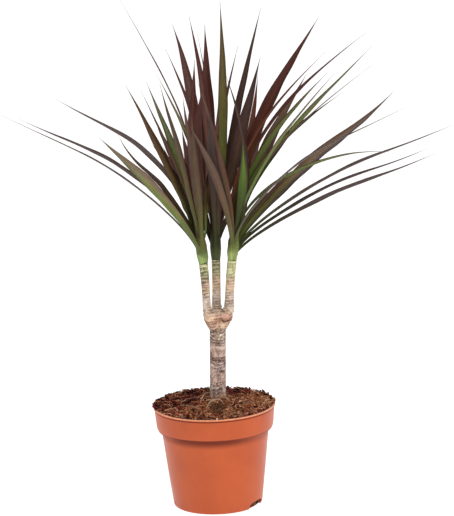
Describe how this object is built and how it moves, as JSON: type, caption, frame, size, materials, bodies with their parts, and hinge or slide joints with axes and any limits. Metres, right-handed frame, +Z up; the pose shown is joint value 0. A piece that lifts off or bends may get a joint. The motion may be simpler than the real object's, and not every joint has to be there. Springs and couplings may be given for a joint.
{
  "type": "potted dracaena marginata",
  "caption": "Young dragon tree in a plastic nursery pot: a short cane forks into three branches, each with a head of long narrow leaves.",
  "frame": {"origin": "centre of the pot's flat base, on the surface it stands on", "axes": "+Z up along the pot's axis; -Y is the front, where the healed cut on the fork shows; +X to the right of the front view"},
  "size_m": [0.4345, 0.3908, 0.5022],
  "materials": {
    "pot_plastic": "satin",
    "soil": "matte",
    "bark": "matte",
    "leaf": "satin"
  },
  "bodies": {
    "root": {"pot": "pot_plastic", "soil": "soil", "cane": "bark", "head_left": "leaf", "head_middle": "leaf", "head_right": "leaf"}
  },
  "joints": []
}
